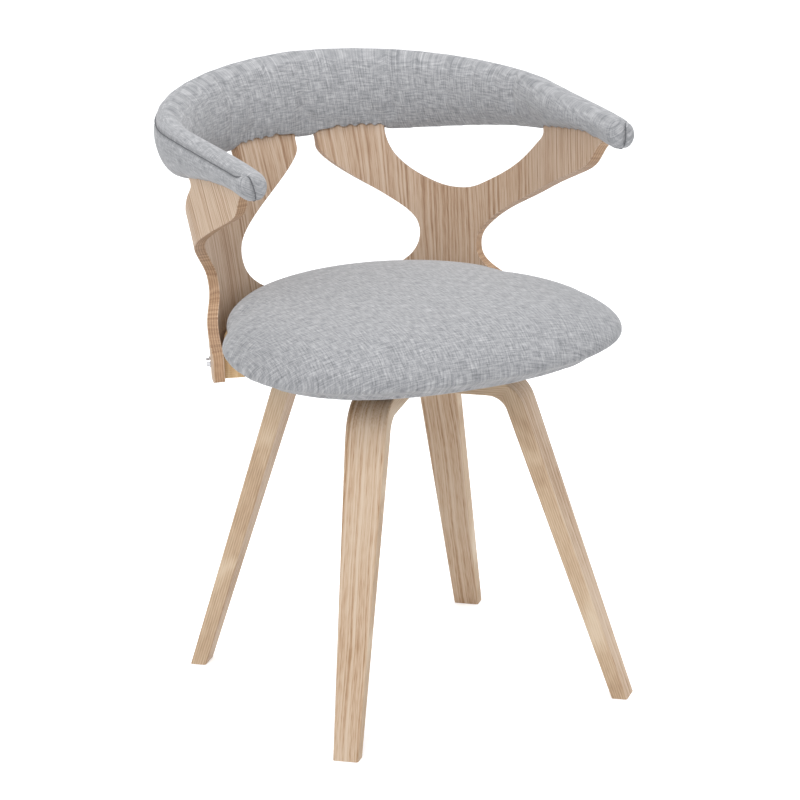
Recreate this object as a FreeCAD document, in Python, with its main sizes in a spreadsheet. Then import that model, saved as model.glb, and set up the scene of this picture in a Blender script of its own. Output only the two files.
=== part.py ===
import FreeCAD, Part
import math
import os

import Sketcher

# Swivel dining chair: two crossed bent-ply leg frames, a ball-bearing swivel,
# an upholstered seat and one bent-ply shell with an X on each side under a
# padded band. Z is up, the front of the seat faces -Y, and the origin is on
# the floor under the swivel axis.

os.makedirs("parts", exist_ok=True)
doc = FreeCAD.newDocument("swivel_dining_chair")
sheet = doc.addObject("Spreadsheet::Sheet", "sizes")
Vector = FreeCAD.Vector

SIZES = {
    # leg frames: angles in degrees, everything else in millimetres
    "foot_radius": 280.0,
    "leg_lean": 18.2,
    "foot_thickness": 19.5,
    "foot_width": 32.6,
    "bar_width": 52.2,
    "taper_height": 372.0,
    "bar_thickness": 24.0,
    "bar_top": 421.0,
    "bend_inner_radius": 26.0,
    "edge_radius": 2.5,
    "lap_clearance": 0.1,
    "leg_turn": 6.5,
    # swivel
    "swivel_height": 12.0,
    "plate_side": 150.0,
    "plate_thickness": 2.0,
    "plate_corner": 12.0,
    "race_height": 4.5,
    "race_width": 14.0,
    "track_radius": 50.0,
    "ball_diameter": 6.0,
    "ball_count": 12.0,
    "running_clearance": 0.05,
    "cage_width": 12.0,
    "cage_thickness": 1.2,
    "hub_diameter": 32.0,
    "pin_diameter": 10.0,
    "pin_head_diameter": 18.0,
    "pin_head_thickness": 2.1,
    "head_clearance": 0.2,
    # bolts of the leg frames
    "frame_bolt_radius": 67.0,
    "frame_bolt_diameter": 6.0,
    "frame_head_diameter": 11.0,
    "frame_head_height": 3.2,
    "frame_washer_diameter": 13.0,
    "washer_thickness": 1.2,
    "tee_barrel_diameter": 8.0,
    "tee_barrel_length": 9.0,
    "tee_flange_diameter": 19.0,
    "tee_flange_thickness": 1.5,
    "thread_end": 1.0,
    "hole_clearance": 0.4,
    "thread_clearance": 0.1,
    # screws under and over the seat board
    "plate_screw_offset": 60.0,
    "screw_diameter": 4.2,
    "screw_head_diameter": 9.0,
    "screw_head_height": 2.4,
    "plate_screw_depth": 10.0,
    "rail_screw_depth": 18.0,
    # seat board, rail and cushion
    "board_thickness": 12.0,
    "board_inset": 15.0,
    "rail_height": 27.0,
    "rail_depth": 28.0,
    "rail_half_angle": 76.0,
    "fit_clearance": 0.2,
    "cushion_centre": -87.0,
    "cushion_overhang": 40.0,
    "cushion_front": 181.0,
    "cushion_back": 264.0,
    "cushion_squareness": 2.3,
    "cushion_edge": 35.0,
    "cushion_crown": 92.0,
    "cushion_tilt": 0.045,
    "cushion_drawn_in": 0.955,
    "cushion_fullness": 3.36,
    "cover_thickness": 0.8,
    "cover_inset": 12.0,
    "cover_gap": 6.0,
    # shell: its inner wall is a round back with straight arms, wider and
    # further back the higher it is
    "ply_thickness": 14.0,
    "wall_level": 67.0,
    "wall_radius": 214.0,
    "wall_flare": 0.06,
    "wall_bell": 0.00026,
    "wall_setback": 51.0,
    "wall_lean": 0.14,
    "wall_sweep": 0.0006,
    "arm_toe_in": 1.4,
    "rim_drop": 28.0,
    "rim_end_angle": 80.5,
    "shell_bolt_height": 11.0,
    "shell_bolt_diameter": 6.0,
    "shell_head_diameter": 11.0,
    "shell_head_height": 4.0,
    "shell_washer_diameter": 15.0,
    "insert_diameter": 10.0,
    "insert_length": 15.0,
    # padded band over the shell's top
    "band_tip_angle": 153.0,
    "band_cap_length": 14.0,
    "band_back_thickness": 44.0,
    "band_arm_thickness": 40.0,
    "band_edge_radius": 13.0,
    "band_cover_over_ply": 18.0,
}

for row, (name, number) in enumerate(SIZES.items(), start=1):
    sheet.set("A%d" % row, str(number))
    sheet.setAlias("A%d" % row, name)
doc.recompute()


def size(name):
    return float(sheet.get(name))


# Heights on the seat are counted from the underside of the seat board.
board_bottom = size("bar_top") + size("swivel_height")
board_top = board_bottom + size("board_thickness")


def spun(angle, height=0.0, radius=0.0):
    """A placement at a radius and height, turned about the swivel axis."""
    turn = FreeCAD.Rotation(Vector(0, 0, 1), angle)
    return FreeCAD.Placement(turn.multVec(Vector(radius, 0, height)), turn)


def lifted(height):
    return FreeCAD.Placement(Vector(0, 0, height), FreeCAD.Rotation())


# Sketches

def sketch_on(body, role, name):
    plane = [item for item in body.Origin.OriginFeatures if item.Role == role][0]
    sketch = body.newObject("Sketcher::SketchObject", name)
    sketch.AttachmentSupport = [(plane, "")]
    sketch.MapMode = "FlatFace"
    return sketch


def bind(sketch, constraint, label, formula):
    index = sketch.addConstraint(constraint)
    sketch.renameConstraint(index, label)
    sketch.setExpression("Constraints." + label, formula)


def value_of(sketch, formula):
    return float(sketch.evalExpression(formula))


def add_polygon(sketch, corners, label):
    """A closed run of lines whose corners are bound to formulas."""
    places = [Vector(value_of(sketch, x), value_of(sketch, y), 0) for x, y in corners]
    first = sketch.GeometryCount
    for index, place in enumerate(places):
        following = places[(index + 1) % len(places)]
        sketch.addGeometry(Part.LineSegment(place, following), False)
    for index, (x, y) in enumerate(corners):
        line = first + index
        after = first + (index + 1) % len(corners)
        sketch.addConstraint(Sketcher.Constraint("Coincident", line, 2, after, 1))
        for axis, formula in (("X", x), ("Y", y)):
            if formula == "0":
                rule = Sketcher.Constraint("PointOnObject", line, 1, -2 if axis == "X" else -1)
                sketch.addConstraint(rule)
            else:
                number = value_of(sketch, formula)
                rule = Sketcher.Constraint("Distance" + axis, -1, 1, line, 1, number)
                bind(sketch, rule, "%s_%s%d" % (label, axis, index), formula)


def add_circle(sketch, x, y, radius, label):
    """A circle whose centre and radius are bound to formulas."""
    index = sketch.GeometryCount
    centre = Vector(value_of(sketch, x), value_of(sketch, y), 0)
    circle = Part.Circle(centre, Vector(0, 0, 1), value_of(sketch, radius))
    sketch.addGeometry(circle, False)
    for axis, formula, number in (("X", x, centre.x), ("Y", y, centre.y)):
        if formula == "0":
            rule = Sketcher.Constraint("PointOnObject", index, 3, -2 if axis == "X" else -1)
            sketch.addConstraint(rule)
        else:
            rule = Sketcher.Constraint("Distance" + axis, -1, 1, index, 3, number)
            bind(sketch, rule, "%s_%s" % (label, axis), formula)
    rule = Sketcher.Constraint("Radius", index, value_of(sketch, radius))
    bind(sketch, rule, label + "_radius", radius)


def pad(body, sketch, length, middle=False):
    feature = body.newObject("PartDesign::Pad", sketch.Name + "_pad")
    feature.Profile = sketch
    feature.Midplane = middle
    feature.setExpression("Length", length)
    return feature


def pocket(body, sketch, length="", upward=False):
    """Cuts through everything, or from the sketch to a length."""
    feature = body.newObject("PartDesign::Pocket", sketch.Name + "_pocket")
    feature.Profile = sketch
    if length:
        feature.Reversed = upward
        feature.setExpression("Length", length)
    else:
        feature.Type = "ThroughAll"
        feature.Midplane = True
    return feature


def round_edges(body, base, radius, chosen, name):
    """Rounds the edges of the base feature that a test picks out."""
    doc.recompute()
    edges = base.Shape.Edges
    names = ["Edge%d" % (i + 1) for i, edge in enumerate(edges) if chosen(edge)]
    feature = body.newObject("PartDesign::Fillet", name)
    feature.Base = (base, names)
    feature.setExpression("Radius", radius)
    return feature


def along(edge, axis):
    """Whether a straight edge runs along an axis."""
    if edge.Curve.TypeId != "Part::GeomLine":
        return False
    return abs(abs(edge.tangentAt(edge.FirstParameter).dot(axis)) - 1) < 1e-6


# Leg frames: one moulded lamination each, two splayed legs under a flat bar.
# They cross at right angles, halved into each other.

def make_leg_frame(name, notch_bottom, notch_top, angle):
    body = doc.addObject("PartDesign::Body", name)
    lean = "tan(sizes.leg_lean)"
    slant = "cos(sizes.leg_lean)"
    underside = "(sizes.bar_top - sizes.bar_thickness)"
    foot_out = "(sizes.foot_radius + sizes.foot_thickness / 2 / %s)" % slant
    foot_in = "(sizes.foot_radius - sizes.foot_thickness / 2 / %s)" % slant
    corner_out = ("(sizes.foot_radius - sizes.bar_top * %s"
                  " + sizes.bar_thickness / 2 / %s)" % (lean, slant))
    corner_in = ("(sizes.foot_radius - %s * %s"
                 " - sizes.bar_thickness / 2 / %s)" % (underside, lean, slant))

    side_view = sketch_on(body, "XZ_Plane", name + "_side_view")
    add_polygon(side_view, [
        ("-" + foot_out, "0"),
        ("-" + corner_out, "sizes.bar_top"),
        (corner_out, "sizes.bar_top"),
        (foot_out, "0"),
        (foot_in, "0"),
        (corner_in, underside),
        ("-" + corner_in, underside),
        ("-" + foot_in, "0"),
    ], "outline")
    frame = pad(body, side_view, "sizes.bar_width", middle=True)

    # the legs get narrower towards the feet
    end_view = sketch_on(body, "YZ_Plane", name + "_end_view")
    for sign, label in (("", "left"), ("-", "right")):
        add_polygon(end_view, [
            (sign + "sizes.foot_width / 2", "0"),
            (sign + "sizes.bar_width", "0"),
            (sign + "sizes.bar_width", "sizes.taper_height"),
            (sign + "sizes.bar_width / 2", "sizes.taper_height"),
        ], label)
    taper = pocket(body, end_view)

    # bends: the outer radius is the inner one and the thickness
    across = Vector(0, 1, 0)
    top = size("bar_top")
    bottom = top - size("bar_thickness")
    outer = round_edges(
        body, taper, "sizes.bend_inner_radius + sizes.bar_thickness",
        lambda edge: along(edge, across) and abs(edge.CenterOfMass.z - top) < 0.01,
        name + "_outer_bends")
    inner = round_edges(
        body, outer, "sizes.bend_inner_radius",
        lambda edge: along(edge, across) and abs(edge.CenterOfMass.z - bottom) < 0.01,
        name + "_inner_bends")

    # every long edge is softened, the cut feet stay sharp
    softened = round_edges(
        body, inner, "sizes.edge_radius",
        lambda edge: abs(edge.tangentAt(edge.FirstParameter).y) < 0.2
        and edge.BoundBox.ZMax > 1.0,
        name + "_soft_edges")

    lap = sketch_on(body, "XZ_Plane", name + "_lap")
    reach = "sizes.bar_width / 2 + sizes.lap_clearance"
    add_polygon(lap, [
        ("-(" + reach + ")", notch_bottom),
        (reach, notch_bottom),
        (reach, notch_top),
        ("-(" + reach + ")", notch_top),
    ], "notch")
    pocket(body, lap)

    bolts = sketch_on(body, "XY_Plane", name + "_bolt_holes")
    nuts = sketch_on(body, "XY_Plane", name + "_nut_holes")
    for sign, label in (("", "right"), ("-", "left")):
        centre = sign + "sizes.frame_bolt_radius"
        add_circle(bolts, centre, "0",
                   "(sizes.frame_bolt_diameter + sizes.hole_clearance) / 2", label)
        add_circle(nuts, centre, "0",
                   "(sizes.tee_barrel_diameter + sizes.thread_clearance) / 2", label)
    pocket(body, bolts)
    pocket(body, nuts, underside + " + sizes.tee_barrel_length", upward=True)
    body.Placement = spun(angle)
    return softened


half_lap = "sizes.bar_top - sizes.bar_thickness / 2"
legs_from_front = size("leg_turn") - 45
make_leg_frame("leg_frame_lower", half_lap, "sizes.bar_top + sizes.bar_thickness",
               legs_from_front)
make_leg_frame("leg_frame_upper", "sizes.bar_top - 2 * sizes.bar_thickness", half_lap,
               legs_from_front + 90)


# Swivel: two square plates with ball races face to face, held by one rivet

def make_swivel_plate(name, hole_x, hole_y, hole_diameter):
    body = doc.addObject("PartDesign::Body", name)
    square = sketch_on(body, "XY_Plane", name + "_square")
    half = "sizes.plate_side / 2"
    add_polygon(square, [
        ("-" + half, "-" + half),
        (half, "-" + half),
        (half, half),
        ("-" + half, half),
    ], "side")
    sheet_metal = pad(body, square, "sizes.plate_thickness")
    upright = Vector(0, 0, 1)
    round_edges(body, sheet_metal, "sizes.plate_corner",
                lambda edge: along(edge, upright), name + "_corners")

    race = sketch_on(body, "XY_Plane", name + "_race")
    add_circle(race, "0", "0", "sizes.track_radius + sizes.race_width / 2", "outside")
    add_circle(race, "0", "0", "sizes.track_radius - sizes.race_width / 2", "inside")
    pad(body, race, "sizes.race_height")
    hub = sketch_on(body, "XY_Plane", name + "_hub")
    add_circle(hub, "0", "0", "sizes.hub_diameter / 2", "hub")
    pad(body, hub, "sizes.race_height")

    track = sketch_on(body, "XZ_Plane", name + "_track")
    add_circle(track, "sizes.track_radius", "sizes.swivel_height / 2",
               "sizes.ball_diameter / 2 + sizes.running_clearance", "groove")
    groove = body.newObject("PartDesign::Groove", name + "_groove")
    groove.Profile = track
    groove.ReferenceAxis = (track, ["V_Axis"])
    groove.Angle = 360.0

    bore = sketch_on(body, "XY_Plane", name + "_bore")
    add_circle(bore, "0", "0", "sizes.pin_diameter / 2 + sizes.running_clearance", "bore")
    pocket(body, bore)
    seat = sketch_on(body, "XY_Plane", name + "_rivet_seat")
    add_circle(seat, "0", "0", "sizes.pin_head_diameter / 2 + sizes.head_clearance", "seat")
    pocket(body, seat, "sizes.pin_head_thickness + 2 * sizes.head_clearance", upward=True)

    holes = sketch_on(body, "XY_Plane", name + "_holes")
    for index, (x, y) in enumerate(zip(hole_x, hole_y)):
        add_circle(holes, x, y, "(%s + sizes.hole_clearance) / 2" % hole_diameter,
                   "hole%d" % index)
    pocket(body, holes)
    return body


# the lower plate lies square to the leg frames, the upper one to the seat
bolt_reach = "sizes.frame_bolt_radius"
lower_plate = make_swivel_plate(
    "swivel_lower_plate",
    [bolt_reach, "0", "-" + bolt_reach, "0"],
    ["0", bolt_reach, "0", "-" + bolt_reach],
    "sizes.frame_bolt_diameter")
lower_plate.Placement = spun(legs_from_front, size("bar_top"))
screw_reach = "sizes.plate_screw_offset"
upper_plate = make_swivel_plate(
    "swivel_upper_plate",
    [screw_reach, "-" + screw_reach, "-" + screw_reach, screw_reach],
    [screw_reach, screw_reach, "-" + screw_reach, "-" + screw_reach],
    "sizes.screw_diameter")
upside_down = FreeCAD.Rotation(Vector(1, 0, 0), 180)
upper_plate.Placement = FreeCAD.Placement(Vector(0, 0, board_bottom), upside_down)


def make_swivel_pin():
    body = doc.addObject("PartDesign::Body", "swivel_pin")
    profile = sketch_on(body, "XZ_Plane", "pin_profile")
    head = "sizes.pin_head_diameter / 2"
    shank = "sizes.pin_diameter / 2"
    low = "sizes.head_clearance"
    high = "sizes.swivel_height - sizes.head_clearance"
    thick = "sizes.pin_head_thickness"
    add_polygon(profile, [
        ("0", low),
        (head, low),
        (head, low + " + " + thick),
        (shank, low + " + " + thick),
        (shank, high + " - " + thick),
        (head, high + " - " + thick),
        (head, high),
        ("0", high),
    ], "rivet")
    turned = body.newObject("PartDesign::Revolution", "pin_turned")
    turned.Profile = profile
    turned.ReferenceAxis = (profile, ["V_Axis"])
    turned.Angle = 360.0
    body.Placement = lifted(size("bar_top"))


make_swivel_pin()


def make_ball_cage():
    body = doc.addObject("PartDesign::Body", "ball_cage")
    ring = sketch_on(body, "XY_Plane", "cage_ring")
    add_circle(ring, "0", "0", "sizes.track_radius + sizes.cage_width / 2", "outside")
    add_circle(ring, "0", "0", "sizes.track_radius - sizes.cage_width / 2", "inside")
    pad(body, ring, "sizes.cage_thickness", middle=True)
    hole = sketch_on(body, "XY_Plane", "cage_hole")
    add_circle(hole, "sizes.track_radius", "0",
               "sizes.ball_diameter / 2 + sizes.head_clearance", "ball")
    first_hole = pocket(body, hole)
    doc.recompute()
    pattern = body.newObject("PartDesign::PolarPattern", "cage_holes")
    pattern.Originals = [first_hole]
    pattern.Axis = (ring, ["N_Axis"])
    pattern.Angle = 360.0
    pattern.setExpression("Occurrences", "sizes.ball_count")
    body.Tip = pattern
    body.Placement = spun(legs_from_front, size("bar_top") + size("swivel_height") / 2)


make_ball_cage()


# Fasteners: one piece from primitives, then a group of separate copies

def make_rod(name, diameter, length, start="0"):
    rod = doc.addObject("Part::Cylinder", name)
    rod.setExpression("Radius", "(%s) / 2" % diameter)
    rod.setExpression("Height", length)
    rod.setExpression("Placement.Base.z", start)
    return rod


def make_fused(name, pieces):
    whole = doc.addObject("Part::MultiFuse", name)
    whole.Shapes = pieces
    whole.Refine = True
    return whole


def make_bored(name, piece, tool):
    bored = doc.addObject("Part::Cut", name)
    bored.Base = piece
    bored.Tool = tool
    return bored


def make_group(name, pattern, places):
    """Separate copies of one piece, kept together under one name."""
    doc.recompute()
    group = doc.addObject("Part::Feature", name)
    copies = []
    for place in places:
        copy = pattern.Shape.copy()
        copy.Placement = place.multiply(copy.Placement)
        copies.append(copy)
    group.Shape = Part.makeCompound(copies)
    return group


frame_bolt_angles = [legs_from_front + 90 * step for step in range(4)]
frame_places = [spun(angle, size("bar_top"), size("frame_bolt_radius"))
                for angle in frame_bolt_angles]
under_bar = "-sizes.bar_thickness"

ball = doc.addObject("Part::Sphere", "ball_pattern")
ball.setExpression("Radius", "sizes.ball_diameter / 2")
ball_count = int(size("ball_count"))
ball_height = size("bar_top") + size("swivel_height") / 2
ball_places = [spun(legs_from_front + 360.0 * step / ball_count, ball_height,
                    size("track_radius")) for step in range(ball_count)]
make_group("swivel_balls", ball, ball_places)

under_head = "sizes.plate_thickness + sizes.washer_thickness"
bolt_end = "(-sizes.bar_thickness - sizes.tee_flange_thickness - sizes.thread_end)"
frame_bolt = make_fused("frame_bolt_pattern", [
    make_rod("frame_bolt_head", "sizes.frame_head_diameter", "sizes.frame_head_height",
             under_head),
    make_rod("frame_bolt_shank", "sizes.frame_bolt_diameter",
             under_head + " - " + bolt_end, bolt_end),
])
make_group("frame_bolts", frame_bolt, frame_places)
frame_washer = make_bored(
    "frame_washer_pattern",
    make_rod("frame_washer_disc", "sizes.frame_washer_diameter", "sizes.washer_thickness",
             "sizes.plate_thickness"),
    make_rod("frame_washer_bore", "sizes.frame_bolt_diameter + sizes.hole_clearance",
             "2 * sizes.washer_thickness", "sizes.plate_thickness"))
make_group("frame_washers", frame_washer, frame_places)
tee_nut = make_bored(
    "tee_nut_pattern",
    make_fused("tee_nut_solid", [
        make_rod("tee_nut_barrel", "sizes.tee_barrel_diameter", "sizes.tee_barrel_length",
                 under_bar),
        make_rod("tee_nut_flange", "sizes.tee_flange_diameter",
                 "sizes.tee_flange_thickness",
                 "-sizes.bar_thickness - sizes.tee_flange_thickness"),
    ]),
    make_rod("tee_nut_bore", "sizes.frame_bolt_diameter + sizes.thread_clearance",
             "2 * sizes.bar_thickness", "-2 * sizes.bar_thickness"))
make_group("frame_tee_nuts", tee_nut, frame_places)


# Seat shapes: the wall of the shell and the outline of the cushion

def wall_radius(height):
    """Radius of the shell's inner wall at a height over the board's underside."""
    rise = height - size("wall_level")
    return size("wall_radius") + size("wall_flare") * rise + size("wall_bell") * rise ** 2


def wall_centre(height):
    """How far behind the swivel axis the round of the wall is centred."""
    rise = height - size("wall_level")
    return size("wall_setback") + size("wall_lean") * rise + size("wall_sweep") * rise ** 2


def wall_point(angle, height, outward=0.0):
    """A point of the wall: 0 is the middle of the back, past 90 the arms run straight."""
    side = -1 if angle < 0 else 1
    turn = math.radians(min(abs(angle), 90))
    radius = wall_radius(height)
    run = math.radians(max(abs(angle) - 90, 0)) * radius
    toe = math.radians(size("arm_toe_in"))
    x = (radius + outward) * math.sin(turn) - run * math.sin(toe)
    y = wall_centre(height) + (radius + outward) * math.cos(turn) - run * math.cos(toe)
    return Vector(side * x, y, board_bottom + height)


def arc_wire(points):
    """A closed wire of arcs, each through three points in turn."""
    count = len(points)
    arcs = [Part.Arc(points[i], points[i + 1], points[(i + 2) % count]).toShape()
            for i in range(0, count, 2)]
    return Part.Wire(arcs)


def seat_outline(scale, inset, wall_gap, level):
    """The seat's outline: squared round in front, the shell's wall behind.

    The level gives the height at each distance from front to back.
    """
    centre = size("cushion_centre")
    half_width = (size("wall_radius") + size("cushion_overhang") - inset) * scale
    power = 2 / size("cushion_squareness")
    wall = 0
    behind = math.radians(size("rim_end_angle"))
    join_y = wall_centre(wall) + wall_radius(wall) * math.cos(behind)
    join = math.asin(((join_y - centre) / size("cushion_back")) ** (1 / power))
    points = []
    steps = 16
    for step in range(steps + 1):
        turn = -math.pi - join + (math.pi + 2 * join) * step / steps
        depth = size("cushion_front") if math.sin(turn) < 0 else size("cushion_back")
        x = half_width * math.copysign(abs(math.cos(turn)) ** power, math.cos(turn))
        y = math.copysign(abs(math.sin(turn)) ** power, math.sin(turn))
        y = centre + (depth - inset) * scale * y
        points.append(Vector(x, y, 0))
    steps = 8
    for step in range(1, steps):
        turn = behind - 2 * behind * step / steps
        # an inset outline meets the wall from inside, so its first arc is eased in
        eased = inset / 6 if step in (1, steps - 1) else 0
        radius = wall_radius(wall) - wall_gap - eased
        x = radius * math.sin(turn) * scale
        y = centre + (wall_centre(wall) + radius * math.cos(turn) - centre) * scale
        points.append(Vector(x, y, 0))
    return arc_wire([Vector(p.x, p.y, level(p.y)) for p in points])


def flat(height):
    return lambda y: board_bottom + height


def tilted(height, share=1.0):
    """A cushion level, higher in front than behind by a share of the tilt."""
    return lambda y: (board_bottom + height
                      - share * size("cushion_tilt") * (y - size("cushion_centre")))


def make_shape(name, shape):
    feature = doc.addObject("Part::Feature", name)
    feature.Shape = shape
    return feature


def make_slab(name, wire, thickness):
    """A flat piece: an outline with a bound thickness."""
    outline = make_shape(name + "_outline", Part.Face(wire))
    slab = doc.addObject("Part::Extrusion", name)
    slab.Base = outline
    slab.DirMode = "Custom"
    slab.Dir = Vector(0, 0, 1)
    slab.Solid = True
    slab.setExpression("LengthFwd", thickness)
    return slab


# Seat board with its screw holes, on the upper plate and the rail

rail_screw_angles = [-60, -20, 20, 60]
shell_bolt_angles = [-70, -35, 0, 35, 70]
plate_screw_places = [FreeCAD.Placement(Vector(x * size("plate_screw_offset"),
                                               y * size("plate_screw_offset"),
                                               board_bottom), FreeCAD.Rotation())
                      for x, y in ((1, 1), (-1, 1), (-1, -1), (1, -1))]
rail_middle = wall_radius(0) - size("rail_depth") / 2
rail_screw_places = []
for angle in rail_screw_angles:
    turn = math.radians(angle)
    place = Vector(rail_middle * math.sin(turn), wall_centre(0) + rail_middle * math.cos(turn),
                   board_top)
    rail_screw_places.append(FreeCAD.Placement(place, FreeCAD.Rotation()))

screw_hole = "sizes.screw_diameter + sizes.thread_clearance"
plate_screw = make_fused("plate_screw_pattern", [
    make_rod("plate_screw_head", "sizes.screw_head_diameter", "sizes.screw_head_height",
             "-sizes.plate_thickness - sizes.screw_head_height"),
    make_rod("plate_screw_shank", "sizes.screw_diameter",
             "sizes.plate_thickness + sizes.plate_screw_depth", "-sizes.plate_thickness"),
])
plate_screw_hole = make_rod("plate_screw_hole", screw_hole,
                            "sizes.plate_screw_depth + sizes.fit_clearance")
rail_screw_head = doc.addObject("Part::Cone", "rail_screw_head")
rail_screw_head.setExpression("Radius1", "sizes.screw_diameter / 2")
rail_screw_head.setExpression("Radius2", "sizes.screw_head_diameter / 2")
rail_screw_head.setExpression("Height", "sizes.screw_head_height")
rail_screw_head.setExpression("Placement.Base.z",
                              "-sizes.screw_head_height - sizes.fit_clearance")
rail_screw = make_fused("rail_screw_pattern", [
    rail_screw_head,
    make_rod("rail_screw_shank", "sizes.screw_diameter",
             "sizes.board_thickness + sizes.rail_screw_depth - sizes.fit_clearance"
             " - sizes.screw_head_height",
             "-sizes.board_thickness - sizes.rail_screw_depth"),
])
countersink = doc.addObject("Part::Cone", "rail_screw_countersink")
countersink.setExpression("Radius1", "(%s) / 2" % screw_hole)
countersink.setExpression("Radius2",
                          "sizes.screw_head_diameter / 2 + sizes.thread_clearance / 2")
countersink.setExpression("Height", "sizes.screw_head_height")
countersink.setExpression("Placement.Base.z",
                          "-sizes.screw_head_height - sizes.fit_clearance")
rail_screw_hole = make_fused("rail_screw_hole", [
    countersink,
    make_rod("rail_screw_mouth", "sizes.screw_head_diameter + sizes.thread_clearance",
             "sizes.board_thickness", "-sizes.fit_clearance"),
    make_rod("rail_screw_bore", screw_hole,
             "sizes.board_thickness + sizes.rail_screw_depth + sizes.fit_clearance",
             "-sizes.board_thickness - sizes.rail_screw_depth - sizes.fit_clearance"),
])
plate_screws = make_group("plate_screws", plate_screw, plate_screw_places)
rail_screws = make_group("rail_screws", rail_screw, rail_screw_places)
plate_screw_holes = make_group("plate_screw_holes", plate_screw_hole, plate_screw_places)
rail_screw_holes = make_group("rail_screw_holes", rail_screw_hole, rail_screw_places)

board_wire = seat_outline(1.0, size("board_inset"), size("fit_clearance"), flat(0))
board_blank = make_slab("board_blank", board_wire, "sizes.board_thickness")
board_holes = make_fused("board_holes", [plate_screw_holes, rail_screw_holes])
make_bored("seat_board", board_blank, board_holes)


# Shell bolts stand square on the wall, through the ply into inserts in the rail

def wall_normal(angle, height):
    around = wall_point(angle + 0.5, height) - wall_point(angle - 0.5, height)
    upward = wall_point(angle, height + 1) - wall_point(angle, height - 1)
    return upward.cross(around).normalize()


def on_wall(angle, height, outward=0.0):
    """A placement on the inner wall whose Z points straight out of it."""
    normal = wall_normal(angle, height)
    turn = FreeCAD.Rotation(Vector(0, 0, 1), normal)
    return FreeCAD.Placement(wall_point(angle, height) + normal * outward, turn)


bolt_places = [on_wall(angle, -size("shell_bolt_height")) for angle in shell_bolt_angles]
washer_face = "sizes.ply_thickness + sizes.thread_clearance"
head_face = washer_face + " + sizes.washer_thickness"
insert_start = "-sizes.insert_length - sizes.fit_clearance"
shell_bolt = make_fused("shell_bolt_pattern", [
    make_rod("shell_bolt_head", "sizes.shell_head_diameter", "sizes.shell_head_height",
             head_face),
    make_rod("shell_bolt_shank", "sizes.shell_bolt_diameter",
             head_face + " + sizes.insert_length - sizes.thread_end",
             "-sizes.insert_length + sizes.thread_end"),
])
shell_washer = make_bored(
    "shell_washer_pattern",
    make_rod("shell_washer_disc", "sizes.shell_washer_diameter", "sizes.washer_thickness",
             washer_face),
    make_rod("shell_washer_bore", "sizes.shell_bolt_diameter + sizes.hole_clearance",
             "2 * sizes.washer_thickness", washer_face))
shell_insert = make_bored(
    "shell_insert_pattern",
    make_rod("shell_insert_barrel", "sizes.insert_diameter", "sizes.insert_length",
             insert_start),
    make_rod("shell_insert_bore", "sizes.shell_bolt_diameter + sizes.thread_clearance",
             "2 * sizes.insert_length", "-1.5 * sizes.insert_length"))
insert_hole = make_rod("insert_hole", "sizes.insert_diameter + sizes.thread_clearance",
                       "2 * sizes.insert_length", insert_start + " - sizes.fit_clearance")
shell_hole = make_rod("shell_hole", "sizes.shell_bolt_diameter + sizes.hole_clearance",
                      "3 * sizes.ply_thickness", "-sizes.ply_thickness")
make_group("shell_bolts", shell_bolt, bolt_places)
make_group("shell_washers", shell_washer, bolt_places)
make_group("shell_inserts", shell_insert, bolt_places)
insert_holes = make_group("insert_holes", insert_hole, bolt_places)
shell_holes = make_group("shell_holes", shell_hole, bolt_places)


# Rail: a curved batten under the board, its outer face against the shell

def rail_wire(height):
    half = math.radians(size("rail_half_angle"))
    outer = wall_radius(height) - size("fit_clearance")
    inner = wall_radius(0) - size("rail_depth")

    def at(radius, angle):
        return Vector(radius * math.sin(angle), wall_centre(height) + radius * math.cos(angle),
                      board_bottom + height)

    return Part.Wire([
        Part.Arc(at(outer, -half), at(outer, 0), at(outer, half)).toShape(),
        Part.LineSegment(at(outer, half), at(inner, half)).toShape(),
        Part.Arc(at(inner, half), at(inner, 0), at(inner, -half)).toShape(),
        Part.LineSegment(at(inner, -half), at(outer, -half)).toShape(),
    ])


rail_blank = make_shape("rail_blank", Part.makeLoft(
    [rail_wire(-size("rail_height")), rail_wire(0)], True, True))
rail_holes = make_fused("rail_holes", [insert_holes, rail_screw_holes])
make_bored("rim_rail", rail_blank, rail_holes)


# Dust cover: thin cloth under the board, inside the rail, cut out round the plate

def make_dust_cover():
    inset = size("board_inset") + size("cover_inset")
    wall_gap = size("rail_depth") + size("cover_inset")
    wire = seat_outline(1.0, inset, wall_gap, flat(-size("cover_thickness")))
    cloth = make_slab("cover_cloth", wire, "sizes.cover_thickness")
    window = doc.addObject("Part::Box", "cover_window")
    across = "(sizes.plate_side + 2 * sizes.cover_gap)"
    window.setExpression("Length", across)
    window.setExpression("Width", across)
    window.setExpression("Height", "2 * sizes.swivel_height")
    window.setExpression("Placement.Base.x", "-%s / 2" % across)
    window.setExpression("Placement.Base.y", "-%s / 2" % across)
    window.setExpression("Placement.Base.z", "sizes.bar_top")
    make_bored("dust_cover", cloth, window)


make_dust_cover()


# Cushion: a crown over drawn-in sides, wrapped down over the board's edge

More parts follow.
